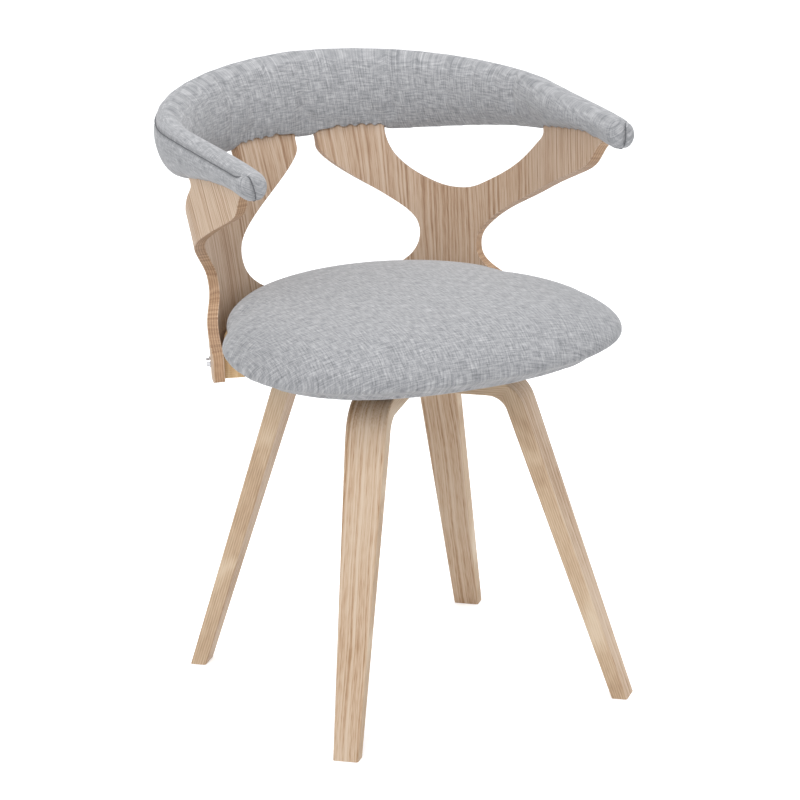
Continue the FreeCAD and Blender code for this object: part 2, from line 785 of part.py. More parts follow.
def make_cushion():
    edge = size("cushion_edge")
    crown = size("cushion_crown")
    drawn = size("cushion_drawn_in")
    gap = 2 * size("fit_clearance")
    fullness = size("cushion_fullness")
    wires = [
        seat_outline(drawn, 0, gap, flat(0)),
        seat_outline((1 + 2 * drawn) / 3, 0, gap, tilted(edge / 4, 0.25)),
        seat_outline((3 + drawn) / 4, 0, gap, tilted(edge * 0.6, 0.6)),
    ]
    for reach in (1.0, 0.985, 0.95, 0.88, 0.75, 0.55, 0.3, 0.08):
        rise = math.sqrt(1 - reach ** fullness)
        wires.append(seat_outline(reach, 0, gap, tilted(edge + (crown - edge) * rise)))
    foam = make_shape("cushion_foam", Part.makeLoft(wires, True, True))
    pocket_wire = seat_outline(1.0, size("board_inset") - gap, 0, flat(-gap))
    board_pocket = make_slab("board_pocket", pocket_wire,
                             "sizes.board_thickness + 3 * sizes.fit_clearance")
    make_bored("seat_cushion", foam, board_pocket)


make_cushion()


# Shell: one moulded ply sheet. Its outline and cut-outs are drawn on the wall
# as angle and height over the board's underside.

def make_wall_surface():
    angles = [-156 + 12 * step for step in range(27)]
    heights = [-40 + 40 * step for step in range(10)]
    surface = Part.BSplineSurface()
    surface.interpolate([[wall_point(angle, height) for height in heights]
                         for angle in angles])
    return surface


def drawn_curve(surface, marks, closed=False):
    """A smooth curve on the wall through marks of angle and height."""
    spots = []
    for angle, height in marks:
        across, up = surface.parameter(wall_point(angle, height))
        spots.append(FreeCAD.Base.Vector2d(across, up))
    if len(spots) == 2:
        return Part.Geom2d.Line2dSegment(spots[0], spots[1]).toShape(surface)
    curve = Part.Geom2d.BSplineCurve2d()
    curve.interpolate(Points=spots, PeriodicFlag=closed)
    return curve.toShape(surface)


def mirrored(marks):
    return [(-angle, height) for angle, height in reversed(marks)]


def band_edge(angle, heights):
    """Height of an edge of the band, a smooth line through marks round the back."""
    marks = (0, 35, 70, 100, 135, 155)
    last = len(marks) - 1
    turn = min(abs(angle), marks[last])
    index = max(i for i in range(last) if turn >= marks[i])

    def slope(mark):
        before, after = max(mark - 1, 0), min(mark + 1, last)
        if mark == 0:
            return 0.0
        return (heights[after] - heights[before]) / (marks[after] - marks[before])

    span = marks[index + 1] - marks[index]
    part = (turn - marks[index]) / span
    start, finish = heights[index], heights[index + 1]
    blend = part * part * (3 - 2 * part)
    leaving = part * (1 - part) ** 2 * span * slope(index)
    arriving = part * part * (1 - part) * span * slope(index + 1)
    return start + (finish - start) * blend + leaving - arriving


def band_top(angle):
    return band_edge(angle, (310, 306, 303, 308, 314, 315))


def band_bottom(angle):
    return band_edge(angle, (203, 208, 226, 246, 271, 276))


def make_shell():
    surface = make_wall_surface()
    bottom = -size("rim_drop")
    end = size("rim_end_angle")
    corner = 2.0
    # the front edge of one side: up from the rim's end, in to the waist of
    # the X and out along the arm until the band hides it
    front_edge = [
        (end, bottom + 6), (end, 6), (end - 1.4, 15), (75.5, 23), (69, 36), (62.8, 44.5),
        (57.5, 56), (55.8, 71), (57.0, 90), (60.6, 105), (67.2, 124), (78.7, 148),
        (95.5, 179), (117.3, 215), (130, 239), (138, 268), (145, 284),
    ]
    top_angles = (145, 120, 95, 70, 45, 20, 0)
    top_edge = [(angle, band_top(angle) - size("band_cover_over_ply"))
                for angle in top_angles]
    top_edge += [(-angle, height) for angle, height in reversed(top_edge[:-1])]
    right_tip = [front_edge[-1], (147, 290), top_edge[0]]
    right_corner = [(end - corner, bottom), (end - 0.5, bottom + 1.5), front_edge[0]]
    outline = Part.Wire([
        drawn_curve(surface, [(corner - end, bottom), (end - corner, bottom)]),
        drawn_curve(surface, right_corner),
        drawn_curve(surface, front_edge),
        drawn_curve(surface, right_tip),
        drawn_curve(surface, top_edge),
        drawn_curve(surface, mirrored(right_tip)),
        drawn_curve(surface, mirrored(front_edge)),
        drawn_curve(surface, mirrored(right_corner)),
    ])
    # the opening between the two X shapes at the back
    half_opening = [
        (11, 15.5), (20.3, 28.5), (28.5, 46), (33.4, 65), (34.9, 82), (33.2, 104),
        (26.5, 124), (15.5, 151), (7.2, 176), (3.8, 194), (3.4, 213),
    ]
    opening = [(0, 10)] + half_opening + [(0, 226)] + mirrored(half_opening)
    # the U cut between the two upper arms of one X
    hollow = [
        (26.4, 200), (28.8, 179), (32.4, 165), (38.5, 151), (47, 142.6), (53, 144.5),
        (60, 154), (69.5, 173), (78.7, 195), (90.4, 227), (95, 246), (91, 258),
        (60, 252), (33, 240), (26.6, 220),
    ]
    sheet_of_ply = Part.Face(surface, outline)
    sheet_of_ply.validate()
    cuts = []
    for marks in (opening, hollow, mirrored(hollow)):
        cut = Part.Face(surface, Part.Wire(drawn_curve(surface, marks, True)))
        cut.validate()
        cuts.append(cut)
    sheet_of_ply = sheet_of_ply.cut(cuts).Faces[0]
    # the drawn face looks at the sitter, so the ply is thickened backwards
    return sheet_of_ply.makeOffsetShape(-size("ply_thickness"), 0.01, fill=True)


shell_blank = make_shape("shell_blank", make_shell())
make_bored("back_shell", shell_blank, shell_holes)


# Band: oval sections square to the shell's middle ply, swept round the back
# and down the arms, cut out where the shell stands in it

def oval_wire(centre, upward, outward, half_height, half_thickness, edge_radius):
    """Two flat arcs for the faces and two tight ones for the edges."""
    rise = half_height - edge_radius
    face_radius = (rise ** 2 + half_thickness ** 2 - edge_radius ** 2) / (
        2 * (half_thickness - edge_radius))
    swing = math.asin(rise / (face_radius - edge_radius))
    shift = face_radius - half_thickness

    def at(up, out):
        return centre + upward * up + outward * out

    joint_up = face_radius * math.sin(swing)
    joint_out = face_radius * math.cos(swing) - shift
    return Part.Wire([
        Part.Arc(at(joint_up, joint_out), at(half_height, 0),
                 at(joint_up, -joint_out)).toShape(),
        Part.Arc(at(joint_up, -joint_out), at(0, -half_thickness),
                 at(-joint_up, -joint_out)).toShape(),
        Part.Arc(at(-joint_up, -joint_out), at(-half_height, 0),
                 at(-joint_up, joint_out)).toShape(),
        Part.Arc(at(-joint_up, joint_out), at(0, half_thickness),
                 at(joint_up, joint_out)).toShape(),
    ])


def band_section(angle, beyond=0.0, shrink=0.0):
    """The band's section at an angle, or beyond it by a length, drawn in a little."""
    ply = size("ply_thickness")
    low = wall_point(angle, band_bottom(angle), ply / 2)
    high = wall_point(angle, band_top(angle), ply / 2)
    middle = (low + high) * 0.5
    upward = (high - low).normalize()
    ahead = wall_point(angle + 0.5, (band_bottom(angle) + band_top(angle)) / 2)
    behind = wall_point(angle - 0.5, (band_bottom(angle) + band_top(angle)) / 2)
    path = Vector(ahead.x - behind.x, ahead.y - behind.y, 0).normalize()
    outward = upward.cross(path).normalize()
    part = min(abs(angle), 135) / 135
    thickness = size("band_back_thickness") + part * (
        size("band_arm_thickness") - size("band_back_thickness"))
    half_height = (high - low).Length / 2 - shrink
    forward = path if angle > 0 else path * -1
    return oval_wire(middle + forward * beyond, upward, outward, half_height,
                     thickness / 2 - shrink, size("band_edge_radius") - shrink)


band_radius = wall_radius(band_top(150) - 20)
seam_angle = size("band_tip_angle") - math.degrees(size("band_cap_length") / band_radius)
band_step = 10
band_angles = [-seam_angle] + list(range(-14 * band_step, 15 * band_step, band_step))
band_angles += [seam_angle]
band_pad = make_shape("band_pad", Part.makeLoft(
    [band_section(angle) for angle in band_angles], True, True))
make_bored("back_band", band_pad, shell_blank)


def make_arm_caps():
    length = size("band_cap_length")
    caps = []
    for angle in (-seam_angle, seam_angle):
        wires = [band_section(angle, length * reach, shrink)
                 for reach, shrink in ((0, 0), (0.35, 0.3), (0.7, 2.2), (0.9, 5.0), (1, 9.0))]
        caps.append(Part.makeLoft(wires, True, True))
    make_shape("arm_end_caps", Part.makeCompound(caps))


make_arm_caps()


# Checks and export

PIECES = [
    "leg_frame_lower", "leg_frame_upper", "swivel_lower_plate", "swivel_balls", "ball_cage",
    "swivel_pin", "swivel_upper_plate", "frame_bolts", "frame_washers", "frame_tee_nuts",
    "plate_screws", "seat_board", "rim_rail", "rail_screws", "dust_cover", "seat_cushion",
    "back_shell", "shell_bolts", "shell_washers", "shell_inserts", "back_band",
    "arm_end_caps",
]
doc.recompute()
faulty = [item.Name for item in doc.Objects
          if "Invalid" in item.State or "Error" in item.State]
if faulty:
    raise RuntimeError("failed objects: " + ", ".join(faulty))
for name in PIECES:
    piece = doc.getObject(name)
    piece.Label = name
    shape = piece.Shape
    if shape.isNull() or not shape.isValid() or not shape.Solids:
        raise RuntimeError("bad shape: " + name)
    shape.exportStep("parts/%s.step" % name)
    box = shape.optimalBoundingBox(True, False)
    print("%-20s solids %2d  volume %10.0f  x %7.1f %7.1f  y %7.1f %7.1f  z %7.1f %7.1f" % (
        name, len(shape.Solids), shape.Volume, box.XMin, box.XMax, box.YMin, box.YMax,
        box.ZMin, box.ZMax))
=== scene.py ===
import math

import bmesh
import bpy
import numpy as np
from mathutils import Matrix, Vector


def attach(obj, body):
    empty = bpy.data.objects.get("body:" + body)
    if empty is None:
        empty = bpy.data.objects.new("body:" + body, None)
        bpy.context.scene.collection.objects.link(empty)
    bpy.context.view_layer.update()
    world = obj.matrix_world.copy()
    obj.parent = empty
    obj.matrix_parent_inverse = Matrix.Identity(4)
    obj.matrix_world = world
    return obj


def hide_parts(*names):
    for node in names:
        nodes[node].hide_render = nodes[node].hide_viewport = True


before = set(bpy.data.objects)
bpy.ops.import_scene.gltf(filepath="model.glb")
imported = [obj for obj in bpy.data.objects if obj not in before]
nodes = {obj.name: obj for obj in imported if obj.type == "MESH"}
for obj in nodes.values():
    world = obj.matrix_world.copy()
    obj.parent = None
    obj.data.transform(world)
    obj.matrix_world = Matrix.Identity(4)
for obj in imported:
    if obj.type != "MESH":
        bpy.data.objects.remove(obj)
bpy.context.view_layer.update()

bpy.ops.object.select_all(action="DESELECT")


# Studio: a pale floor that keeps the chair's shadow, a white backdrop for the
# camera alone, three soft lamps, and a long lens from the front left.

def hex_colour(code):
    """An sRGB hex colour as the linear one that the shaders use."""
    parts = [int(code[i:i + 2], 16) / 255 for i in (1, 3, 5)]
    return tuple(p / 12.92 if p <= 0.04045 else ((p + 0.055) / 1.055) ** 2.4
                 for p in parts) + (1.0,)


def add_node(material, kind, inputs=(), **settings):
    """Adds one node. Inputs are (socket, value or another node's output)."""
    node = material.node_tree.nodes.new(kind)
    for name, value in settings.items():
        setattr(node, name, value)
    for socket, value in inputs:
        if isinstance(value, bpy.types.NodeSocket):
            material.node_tree.links.new(value, node.inputs[socket])
        else:
            node.inputs[socket].default_value = value
    return node


floor_side = 30.0
bpy.ops.mesh.primitive_plane_add(size=floor_side, location=(0, 0, -0.0005))
floor = bpy.context.active_object
floor.name = "studio_floor"
bpy.ops.object.transform_apply(location=True)
floor_paint = bpy.data.materials.new("matt_white_studio_floor")
floor_paint.use_nodes = True
floor_paint.node_tree.nodes.clear()
floor_diffuse = add_node(floor_paint, "ShaderNodeBsdfDiffuse",
                         [("Color", hex_colour("#F4F4F4"))])
floor_glow = add_node(floor_paint, "ShaderNodeEmission",
                      [("Color", (1, 1, 1, 1)), ("Strength", 0.5)])
floor_both = add_node(floor_paint, "ShaderNodeAddShader",
                      [(0, floor_diffuse.outputs[0]), (1, floor_glow.outputs[0])])
floor_path = add_node(floor_paint, "ShaderNodeLightPath")
floor_seen = add_node(floor_paint, "ShaderNodeMath",
                      [(0, floor_path.outputs["Is Camera Ray"]),
                       (1, floor_path.outputs["Is Glossy Ray"])], operation="MAXIMUM")
floor_pick = add_node(floor_paint, "ShaderNodeMixShader",
                      [(0, floor_seen.outputs[0]), (1, floor_diffuse.outputs[0]),
                       (2, floor_both.outputs[0])])
add_node(floor_paint, "ShaderNodeOutputMaterial", [("Surface", floor_pick.outputs[0])])
floor.data.materials.append(floor_paint)

world = bpy.data.worlds.new("white_studio")
bpy.context.scene.world = world
world.use_nodes = True
world.node_tree.nodes.clear()
sky_light = add_node(world, "ShaderNodeBackground",
                     [("Color", hex_colour("#F2F4F8")), ("Strength", 0.62)])
sky_seen = add_node(world, "ShaderNodeBackground",
                    [("Color", (1, 1, 1, 1)), ("Strength", 1.0)])
sky_path = add_node(world, "ShaderNodeLightPath")
sky_shown = add_node(world, "ShaderNodeMath",
                     [(0, sky_path.outputs["Is Camera Ray"]),
                      (1, sky_path.outputs["Is Glossy Ray"])], operation="MAXIMUM")
sky_pick = add_node(world, "ShaderNodeMixShader",
                    [(0, sky_shown.outputs[0]), (1, sky_light.outputs[0]),
                     (2, sky_seen.outputs[0])])
add_node(world, "ShaderNodeOutputWorld", [("Surface", sky_pick.outputs[0])])

# name, place, side in metres, watts: the key from the upper left, a weak fill
# from the right, and a top light for the cushion's crown
for name, place, side, watts in (("key_softbox", (-2.4, -2.6, 3.0), 2.2, 92),
                                 ("fill_softbox", (3.2, -1.6, 1.8), 2.6, 30),
                                 ("top_softbox", (0.3, 0.6, 3.4), 2.4, 52)):
    lamp_data = bpy.data.lights.new(name, "AREA")
    lamp_data.size = side
    lamp_data.energy = watts
    lamp = bpy.data.objects.new(name, lamp_data)
    bpy.context.scene.collection.objects.link(lamp)
    lamp.location = place
    lamp.rotation_euler = (Vector((0, 0, 0.45)) - Vector(place)).to_track_quat(
        "-Z", "Y").to_euler()

camera_azimuth = math.radians(-21.93)
camera_height_angle = math.radians(18.80)
camera_roll = math.radians(-1.5387)
camera_distance = 7.2088
aim_height = 0.375
aim_shift = -0.0032
backward = Vector((math.sin(camera_azimuth) * math.cos(camera_height_angle),
                   -math.cos(camera_azimuth) * math.cos(camera_height_angle),
                   math.sin(camera_height_angle)))
rightward = Vector((math.cos(camera_azimuth), math.sin(camera_azimuth), 0))
upward = backward.cross(rightward)
rolled_right = rightward * math.cos(camera_roll) + upward * math.sin(camera_roll)
rolled_up = upward * math.cos(camera_roll) - rightward * math.sin(camera_roll)
camera_data = bpy.data.cameras.new("photo_camera")
camera_data.sensor_width = 36.0
camera_data.lens = 257.5
camera = bpy.data.objects.new("photo_camera", camera_data)
bpy.context.scene.collection.objects.link(camera)
camera_turn = Matrix((rolled_right, rolled_up, backward)).transposed()
camera_spot = backward * camera_distance + Vector((0, 0, aim_height)) + rightward * aim_shift
camera.matrix_world = Matrix.Translation(camera_spot) @ camera_turn.to_4x4()
bpy.context.scene.camera = camera
bpy.context.scene.view_settings.view_transform = "Standard"


# Leg frames: two U frames of laminated ash, bent in a press from 1.5 mm
# veneers, tapered to the foot and half-lapped where they cross. Limed and oiled.

def new_finish(name):
    """A material with a shader, an output and the piece's own coordinates."""
    finish = bpy.data.materials.new(name)
    finish.use_nodes = True
    finish.node_tree.nodes.clear()
    shader = add_node(finish, "ShaderNodeBsdfPrincipled")
    add_node(finish, "ShaderNodeOutputMaterial", [("Surface", shader.outputs[0])])
    spot = add_node(finish, "ShaderNodeTexCoord")
    return finish, shader, spot.outputs["Object"]


def sums(finish, operation, first, second=0.0, third=0.0):
    """One Math node, for a pattern's coordinates."""
    return add_node(finish, "ShaderNodeMath", [(0, first), (1, second), (2, third)],
                    operation=operation).outputs[0]


def ramp(finish, value, stops):
    """Colours along a value, from (place, hex colour) pairs."""
    node = add_node(finish, "ShaderNodeValToRGB", [("Fac", value)])
    for index, (place, colour) in enumerate(stops):
        stop = node.color_ramp.elements[index] if index < 2 else (
            node.color_ramp.elements.new(place))
        stop.position = place
        stop.color = hex_colour(colour)
    return node.outputs["Color"]


def ash_grain(finish, across, along, depth, warp):
    """Ash figure: pale wood with darker, porous growth lines, in metres.

    Growth lines are 4 to 9 mm apart and the pores are streaks of 0.4 by 12 mm,
    drawn twice as wide so that they show.
    """
    place = add_node(finish, "ShaderNodeCombineXYZ", [(0, across), (1, along), (2, depth)])
    wander = add_node(finish, "ShaderNodeTexNoise", [
        ("Vector", add_node(finish, "ShaderNodeMapping", [
            ("Vector", place.outputs[0]), ("Scale", (9, 3.2, 9))]).outputs[0]),
        ("Scale", 1.0), ("Detail", 2.0)])
    swept = sums(finish, "MULTIPLY_ADD", wander.outputs[0], warp, across)
    rings_place = add_node(finish, "ShaderNodeCombineXYZ", [(0, swept), (1, 0.0), (2, 0.0)])
    rings = add_node(finish, "ShaderNodeTexNoise", [
        ("Vector", rings_place.outputs[0]), ("Scale", 210.0), ("Detail", 2.5),
        ("Roughness", 0.6)])
    pores = add_node(finish, "ShaderNodeTexNoise", [
        ("Vector", add_node(finish, "ShaderNodeMapping", [
            ("Vector", place.outputs[0]), ("Scale", (900, 42, 900))]).outputs[0]),
        ("Scale", 1.0), ("Detail", 2.0)])
    patches = add_node(finish, "ShaderNodeTexNoise", [
        ("Vector", add_node(finish, "ShaderNodeMapping", [
            ("Vector", place.outputs[0]), ("Scale", (26, 5, 26))]).outputs[0]),
        ("Scale", 1.0), ("Detail", 3.0)])
    tone = sums(finish, "MULTIPLY_ADD", pores.outputs[0], 0.34, rings.outputs[0])
    tone = sums(finish, "MULTIPLY_ADD", patches.outputs[0], 0.30, tone)
    return sums(finish, "SUBTRACT", tone, 0.32)


ash_stops = ((0.36, "#A1805F"), (0.44, "#BA9C80"), (0.51, "#C6AD93"), (0.64, "#D0BBA4"))


def leg_ash(name, turn_degrees):
    """Ash along one U frame, whose pattern is turned to the frame's own plane."""
    finish, shader, spot = new_finish(name)
    local = add_node(finish, "ShaderNodeVectorRotate", [
        ("Vector", spot), ("Angle", math.radians(-turn_degrees))], rotation_type="Z_AXIS")
    parts = add_node(finish, "ShaderNodeSeparateXYZ", [("Vector", local.outputs[0])])
    reach = sums(finish, "ABSOLUTE", parts.outputs[0])
    side = sums(finish, "SIGN", parts.outputs[0])
    along = sums(finish, "SUBTRACT", reach, parts.outputs[2])
    # each leg has its own stretch of veneer
    along = sums(finish, "MULTIPLY_ADD", side, 3.0, along)
    across = parts.outputs[1]
    lean = math.radians(18.2)
    foot_reach, bar_middle, ply_pair = 0.280, 0.409, 0.0030
    thick = sums(finish, "MULTIPLY_ADD", parts.outputs[2], math.tan(lean),
                 sums(finish, "SUBTRACT", reach, foot_reach))
    thick = sums(finish, "MULTIPLY", thick, math.cos(lean))
    over = sums(finish, "SUBTRACT", parts.outputs[2], bar_middle)
    thick = sums(finish, "MAXIMUM", thick, over)
    tone = ash_grain(finish, across, along, thick, 0.016)
    face_colour = ramp(finish, tone, ash_stops)
    # the side faces show the veneers' edges, 1.5 mm each
    ply_line = sums(finish, "SINE", sums(finish, "MULTIPLY", thick, 2 * math.pi / ply_pair))
    ply_tone = sums(finish, "MULTIPLY_ADD", ply_line, 0.07, tone)
    edge_colour = ramp(finish, ply_tone, ((0.32, "#A68A6E"), (0.48, "#C0A588"),
                                          (0.60, "#CDB69A"), (0.74, "#D6C2A9")))
    facing = add_node(finish, "ShaderNodeTexCoord").outputs["Normal"]
    turned = add_node(finish, "ShaderNodeVectorRotate", [
        ("Vector", facing), ("Angle", math.radians(-turn_degrees))],
        rotation_type="Z_AXIS")
    sideways = sums(finish, "ABSOLUTE", add_node(finish, "ShaderNodeSeparateXYZ", [
        ("Vector", turned.outputs[0])]).outputs[1])
    on_side = add_node(finish, "ShaderNodeMapRange", [
        ("Value", sideways), ("From Min", 0.6), ("From Max", 0.85)]).outputs[0]
    colour = add_node(finish, "ShaderNodeMix", [(0, on_side), (6, face_colour),
                                                (7, edge_colour)], data_type="RGBA")
    bump = add_node(finish, "ShaderNodeBump", [
        ("Height", tone), ("Strength", 0.16), ("Distance", 0.0006)])
    rough = add_node(finish, "ShaderNodeMapRange", [
        ("Value", tone), ("From Min", 0.3), ("From Max", 0.7), ("To Min", 0.66),
        ("To Max", 0.5)])
    links = finish.node_tree.links
    links.new(colour.outputs[2], shader.inputs["Base Color"])
    links.new(bump.outputs[0], shader.inputs["Normal"])
    links.new(rough.outputs[0], shader.inputs["Roughness"])
    shader.inputs["Specular IOR Level"].default_value = 0.35
    return finish


def dress(node_name, finish):
    """Gives a CAD node its finish, in every one of its slots."""
    slots = nodes[node_name].data.materials
    if not slots:
        slots.append(finish)
    for index in range(len(slots)):
        slots[index] = finish


lower_frame_turn, upper_frame_turn = -38.5, 51.5
dress("leg_frame_lower", leg_ash("limed_ash_lower_frame", lower_frame_turn))
dress("leg_frame_upper", leg_ash("limed_ash_upper_frame", upper_frame_turn))


# Swivel and its fixings: two pressed steel plates, zinc plated, with steel
# balls in a nylon cage between them, riveted at the centre and bolted down.

def plated_steel(name, code, roughness, streak):
    """Zinc or nickel on steel: fine rolling marks and a slightly cloudy gloss."""
    finish, shader, spot = new_finish(name)
    cloud = add_node(finish, "ShaderNodeTexNoise", [
        ("Vector", spot), ("Scale", 60.0), ("Detail", 3.0)])
    mark = add_node(finish, "ShaderNodeTexNoise", [
        ("Vector", add_node(finish, "ShaderNodeMapping", [
            ("Vector", spot), ("Scale", (2600, 120, 600))]).outputs[0]),
        ("Scale", 1.0), ("Detail", 2.0)])
    level = sums(finish, "MULTIPLY_ADD", mark.outputs[0], streak, cloud.outputs[0])
    rough = add_node(finish, "ShaderNodeMapRange", [
        ("Value", level), ("From Min", 0.3), ("From Max", 1.0),
        ("To Min", roughness - 0.06), ("To Max", roughness + 0.12)])
    bump = add_node(finish, "ShaderNodeBump", [
        ("Height", level), ("Strength", 0.08), ("Distance", 0.0003)])
    finish.node_tree.links.new(rough.outputs[0], shader.inputs["Roughness"])
    finish.node_tree.links.new(bump.outputs[0], shader.inputs["Normal"])
    shader.inputs["Base Color"].default_value = hex_colour(code)
    shader.inputs["Metallic"].default_value = 1.0
    return finish


zinc_plate = plated_steel("zinc_plated_pressed_steel", "#A9ACB0", 0.38, 0.5)
bright_bolt = plated_steel("bright_nickel_plated_bolt", "#C4C5C8", 0.24, 0.25)
ball_polish = plated_steel("polished_bearing_steel", "#CDD0D4", 0.12, 0.1)
for node_name in ("swivel_lower_plate", "swivel_upper_plate", "swivel_pin",
                  "frame_tee_nuts", "rail_screws", "plate_screws", "shell_inserts"):
    dress(node_name, zinc_plate)
for node_name in ("frame_bolts", "frame_washers", "shell_bolts", "shell_washers"):
    dress(node_name, bright_bolt)
dress("swivel_balls", ball_polish)

cage_nylon, cage_shader, cage_spot = new_finish("moulded_natural_nylon")
cage_cloud = add_node(cage_nylon, "ShaderNodeTexNoise", [
    ("Vector", cage_spot), ("Scale", 240.0), ("Detail", 2.0)])
cage_nylon.node_tree.links.new(
    ramp(cage_nylon, cage_cloud.outputs[0], ((0.3, "#CFCBBE"), (0.7, "#DDDACF"))),
    cage_shader.inputs["Base Color"])
cage_shader.inputs["Roughness"].default_value = 0.42
dress("ball_cage", cage_nylon)


# Seat board and rim rail: birch plywood, sawn to shape, the rail screwed under
# the board's back edge to take the shell's bolts. Only the edges show veneers.

birch, birch_shader, birch_spot = new_finish("sawn_birch_plywood")
birch_parts = add_node(birch, "ShaderNodeSeparateXYZ", [("Vector", birch_spot)])
birch_tone = ash_grain(birch, birch_parts.outputs[0], birch_parts.outputs[1],
                       birch_parts.outputs[2], 0.010)
# veneers of 1.4 mm, told apart at the edges
birch_layers = sums(birch, "SINE", sums(birch, "MULTIPLY", birch_parts.outputs[2],
                                        2 * math.pi / 0.0028))
birch_level = sums(birch, "MULTIPLY_ADD", birch_layers, 0.05, birch_tone)
birch.node_tree.links.new(
    ramp(birch, birch_level, ((0.3, "#B89468"), (0.5, "#D2B184"), (0.7, "#E0C59C"))),
    birch_shader.inputs["Base Color"])
birch_shader.inputs["Roughness"].default_value = 0.7
dress("seat_board", birch)
dress("rim_rail", birch)


# Back shell: one sheet of ash-faced plywood, 14 mm, moulded round the seat and
# routed into two X shapes. Its edges are sanded and show nine veneers.

shell_ash, shell_shader, shell_spot = new_finish("limed_ash_moulded_shell")
shell_parts = add_node(shell_ash, "ShaderNodeSeparateXYZ", [("Vector", shell_spot)])
shell_x, shell_y, shell_z = shell_parts.outputs[:3]
rise = sums(shell_ash, "SUBTRACT", shell_z, 0.433 + 0.067)
rise_squared = sums(shell_ash, "MULTIPLY", rise, rise)
wall_radius = sums(shell_ash, "ADD", sums(shell_ash, "MULTIPLY", rise, 0.06), 0.214)
wall_radius = sums(shell_ash, "MULTIPLY_ADD", rise_squared, 0.26, wall_radius)
wall_centre = sums(shell_ash, "ADD", sums(shell_ash, "MULTIPLY", rise, 0.14), 0.051)
wall_centre = sums(shell_ash, "MULTIPLY_ADD", rise_squared, 0.60, wall_centre)
behind = sums(shell_ash, "SUBTRACT", shell_y, wall_centre)
# the arms run straight from the wall's widest place, so there only x counts
behind_round = sums(shell_ash, "MAXIMUM", behind, 0.0)
ahead = sums(shell_ash, "MINIMUM", behind, 0.0)
from_axis = sums(shell_ash, "SQRT", sums(
    shell_ash, "MULTIPLY_ADD", shell_x, shell_x,
    sums(shell_ash, "MULTIPLY", behind_round, behind_round)))
toe_in = math.tan(math.radians(1.4))
depth_in_ply = sums(shell_ash, "MULTIPLY_ADD", ahead, -toe_in,
                    sums(shell_ash, "SUBTRACT", from_axis, wall_radius))
round_angle = sums(shell_ash, "ARCTAN2", sums(shell_ash, "ABSOLUTE", shell_x),
                   behind_round)
arc_run = sums(shell_ash, "MULTIPLY_ADD", round_angle, 0.225,
               sums(shell_ash, "MULTIPLY", ahead, -1.0))
# the two halves of the sheet differ, as no veneer is mirrored
shell_side = sums(shell_ash, "SIGN", shell_x)
shell_along = sums(shell_ash, "MULTIPLY_ADD", shell_side, 1.7, shell_z)
shell_tone = ash_grain(shell_ash, arc_run, shell_along, depth_in_ply, 0.030)
# the inner face is painted darker than the outer one: painted shade for the shell's shaded
# inside. Apart from that, the outer one is tanner and the inner one a little pinker
shell_inner_painted_shade = ramp(shell_ash, shell_tone, ((0.36, "#937358"), (0.44, "#AC8E74"),
                                           (0.51, "#BBA189"), (0.64, "#C7B19C")))
shell_outer = ramp(shell_ash, shell_tone, ash_stops)
# share of the outer face, going from the inner face with its painted shade to the lit outer
# face
outer_share = add_node(shell_ash, "ShaderNodeMapRange", [
    ("Value", depth_in_ply), ("From Min", 0.004), ("From Max", 0.010)]).outputs[0]
shell_face = add_node(shell_ash, "ShaderNodeMix", [
    (0, outer_share), (6, shell_inner_painted_shade), (7, shell_outer)], data_type="RGBA").outputs[2]
layer_wave = sums(shell_ash, "SINE", sums(shell_ash, "MULTIPLY", depth_in_ply,
                                          2 * math.pi / 0.0031))
layer_tone = sums(shell_ash, "MULTIPLY_ADD", layer_wave, 0.10, shell_tone)
shell_edge = ramp(shell_ash, layer_tone, ((0.32, "#8C6C52"), (0.50, "#AB896A"),
                                          (0.70, "#C4A384")))
# 0.7 mm of face veneer each side is left out of the edge's layers
from_middle = sums(shell_ash, "ABSOLUTE", sums(shell_ash, "SUBTRACT", depth_in_ply, 0.007))
in_edge = add_node(shell_ash, "ShaderNodeMapRange", [
    ("Value", from_middle), ("From Min", 0.0064), ("From Max", 0.0059)]).outputs[0]
shell_colour = add_node(shell_ash, "ShaderNodeMix", [
    (0, in_edge), (6, shell_face), (7, shell_edge)], data_type="RGBA").outputs[2]
shell_bump = add_node(shell_ash, "ShaderNodeBump", [
    ("Height", shell_tone), ("Strength", 0.16), ("Distance", 0.0006)])
shell_ash.node_tree.links.new(shell_colour, shell_shader.inputs["Base Color"])
shell_ash.node_tree.links.new(shell_bump.outputs[0], shell_shader.inputs["Normal"])
shell_shader.inputs["Roughness"].default_value = 0.56
shell_shader.inputs["Specular IOR Level"].default_value = 0.35
dress("back_shell", shell_ash)


# Seat cushion: moulded foam on the board, in a light-grey slub linen cover that
# is pulled in under the foam, so that its underside is nearly flat.

def merged_copy(node_names, name):
    """A copy of CAD solids whose loose triangles are merged."""
    mesh = bmesh.new()
    for node_name in node_names:
        mesh.from_mesh(nodes[node_name].data)
    bmesh.ops.remove_doubles(mesh, verts=mesh.verts, dist=1e-5)
    data = bpy.data.meshes.new(name)
    mesh.to_mesh(data)
    mesh.free()
    piece = bpy.data.objects.new(name, data)
    bpy.context.scene.collection.objects.link(piece)
    return piece


def even_cloth(piece, voxel, shrink):
    """Remeshes a piece and draws it in a little for the swelling."""
    bpy.ops.object.select_all(action="DESELECT")
    bpy.context.view_layer.objects.active = piece
    piece.select_set(True)
    remesh = piece.modifiers.new("even_cloth", "REMESH")
    remesh.mode = "VOXEL"
    remesh.voxel_size = voxel
    bpy.ops.object.modifier_apply(modifier=remesh.name)
    ease = piece.modifiers.new("ease", "SMOOTH")
    ease.factor = 0.5
    ease.iterations = 6
    bpy.ops.object.modifier_apply(modifier=ease.name)
    spots = np.empty(len(piece.data.vertices) * 3)
    normals = np.empty(len(piece.data.vertices) * 3)
    piece.data.vertices.foreach_get("co", spots)
    piece.data.vertices.foreach_get("normal", normals)
    piece.data.vertices.foreach_set("co", spots - normals * shrink)
    piece.data.update()
    return piece


